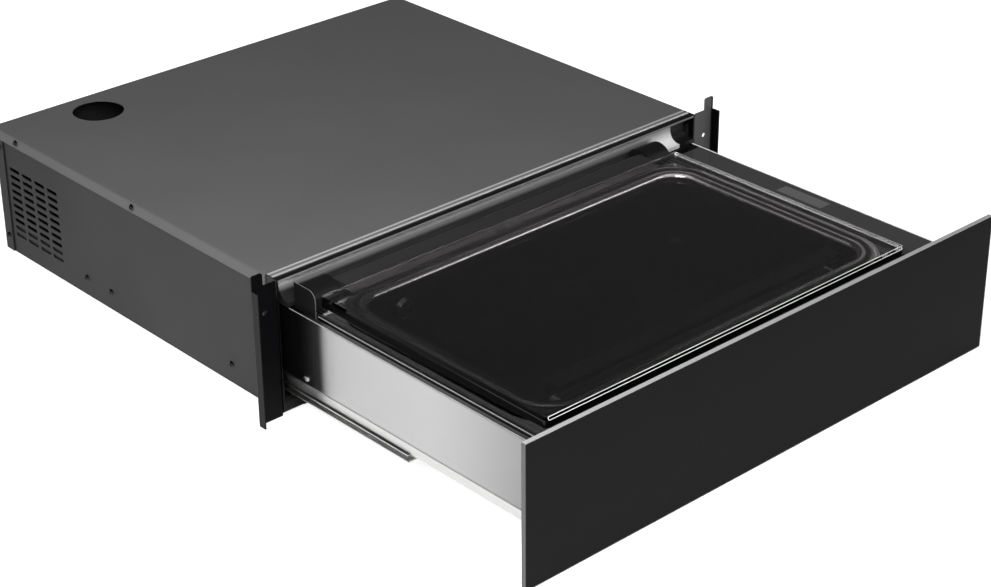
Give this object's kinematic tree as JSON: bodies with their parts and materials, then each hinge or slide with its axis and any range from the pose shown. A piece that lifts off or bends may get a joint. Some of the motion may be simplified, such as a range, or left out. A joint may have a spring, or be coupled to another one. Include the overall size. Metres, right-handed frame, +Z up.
{
  "type": "vacuum sealing drawer",
  "caption": "Built-in vacuum sealing drawer on telescopic runners, drawn out of its case, with a hinged glass lid over a pressed steel chamber.",
  "frame": {"origin": "middle of the standing plane below the bounding box of the case and the fully open drawer", "axes": "+X to the right seen from the front, -Y the way the drawer comes out, +Z up"},
  "size_m": [0.597, 0.8226, 0.1528],
  "materials": {
    "case_paint": "satin powder coat",
    "cover_paint": "satin powder coat",
    "black_paint": "satin black",
    "bright_trim": "bright",
    "zinc_steel": "zinc plated",
    "screw_steel": "zinc plated",
    "screw_black": "black zinc",
    "latch_plastic": "plain",
    "rubber_black": "matte",
    "stainless": "brushed stainless",
    "panel_glass": "back painted glass, opaque",
    "control_glass": "back printed glass, opaque",
    "display": "unlit display window",
    "black_plastic": "fine grain",
    "hinge_black": "satin black",
    "pump_aluminium": "as cast",
    "motor_paint": "satin black",
    "valve_brass": "plain",
    "winding": "varnished",
    "board_green": "solder mask",
    "band_cloth": "coated glass cloth",
    "silicone_red": "silicone",
    "lid_glass": "tinted toughened glass"
  },
  "bodies": {
    "case": {"base_pan": "case_paint", "left_side": "case_paint", "right_side": "case_paint", "top_cover": "cover_paint", "front_crossbar": "black_paint", "trim_strip": "bright_trim", "rear_cover": "case_paint", "left_bracket": "black_paint", "right_bracket": "black_paint", "feet": "rubber_black", "case_screws": "screw_black", "cable_gland": "rubber_black", "fixed_rail_left": "zinc_steel", "fixed_rail_right": "zinc_steel", "push_latch": "latch_plastic"},
    "latch_plunger": {"latch_plunger": "latch_plastic"},
    "runner_left": {"middle_rail_left": "zinc_steel"},
    "runner_right": {"middle_rail_right": "zinc_steel"},
    "drawer": {"drawer_rail_left": "zinc_steel", "drawer_rail_right": "zinc_steel", "drawer_floor": "stainless", "drawer_wall_left": "stainless", "drawer_wall_right": "stainless", "drawer_back": "stainless", "drawer_screws": "screw_steel", "front_glass": "panel_glass", "front_edge_frame": "bright_trim", "panel_carrier": "black_paint", "tray_support_left": "stainless", "tray_support_right": "stainless", "top_tray": "stainless", "chamber_tub": "stainless", "lid_seal": "rubber_black", "suction_fitting": "screw_steel", "control_housing": "black_plastic", "control_glass": "control_glass", "display_window": "display", "rear_hood": "stainless", "guard_plate": "black_plastic", "hinge_blocks": "zinc_steel", "hinge_cap_left": "black_plastic", "hinge_cap_right": "black_plastic", "hinge_pins": "screw_steel", "pump_plate": "zinc_steel", "pump_mounts": "rubber_black", "pump_head": "pump_aluminium", "pump_motor": "motor_paint", "motor_fan_cover": "black_paint", "vacuum_valve": "valve_brass", "vacuum_hose": "rubber_black", "transformer": "winding", "power_board": "board_green", "rod_sleeves": "black_plastic"},
    "motor_fan": {"motor_fan": "pump_aluminium"},
    "sealing_bar": {"sealing_bar": "pump_aluminium", "heating_band": "band_cloth"},
    "lid": {"lid_glass": "lid_glass", "hinge_bar": "hinge_black", "counter_bar": "black_plastic", "counter_strip": "silicone_red"}
  },
  "joints": [
    {"name": "drawer_slide", "type": "slide", "parent": "case", "child": "drawer", "axis": [0, -1, 0], "range_m": [-0.339, 0]},
    {"name": "left_runner_slide", "type": "slide", "parent": "case", "child": "runner_left", "axis": [0, -1, 0], "range_m": [-0.1695, 0]},
    {"name": "right_runner_slide", "type": "slide", "parent": "case", "child": "runner_right", "axis": [0, -1, 0], "range_m": [-0.1695, 0]},
    {"name": "latch_press", "type": "slide", "parent": "case", "child": "latch_plunger", "axis": [0, 1, 0], "range_m": [0, 0.004], "stiffness_N_per_m": 600, "springref_m": -0.004},
    {"name": "motor_fan_spin", "type": "hinge", "parent": "drawer", "child": "motor_fan", "pos_m": [0.122, 0.0063, 0.0832], "axis": [1, 0, 0], "continuous": true},
    {"name": "lid_hinge", "type": "hinge", "parent": "drawer", "child": "lid", "pos_m": [-0.01875, -0.0712, 0.1214], "axis": [-1, 0, 0], "range_deg": [0, 70]},
    {"name": "sealing_bar_lift", "type": "slide", "parent": "drawer", "child": "sealing_bar", "axis": [0, 0, 1], "range_m": [0, 0.007]}
  ],
  "couplings": [
    {"joint": "left_runner_slide", "follows": "drawer_slide", "ratio": 0.5},
    {"joint": "right_runner_slide", "follows": "drawer_slide", "ratio": 0.5}
  ]
}
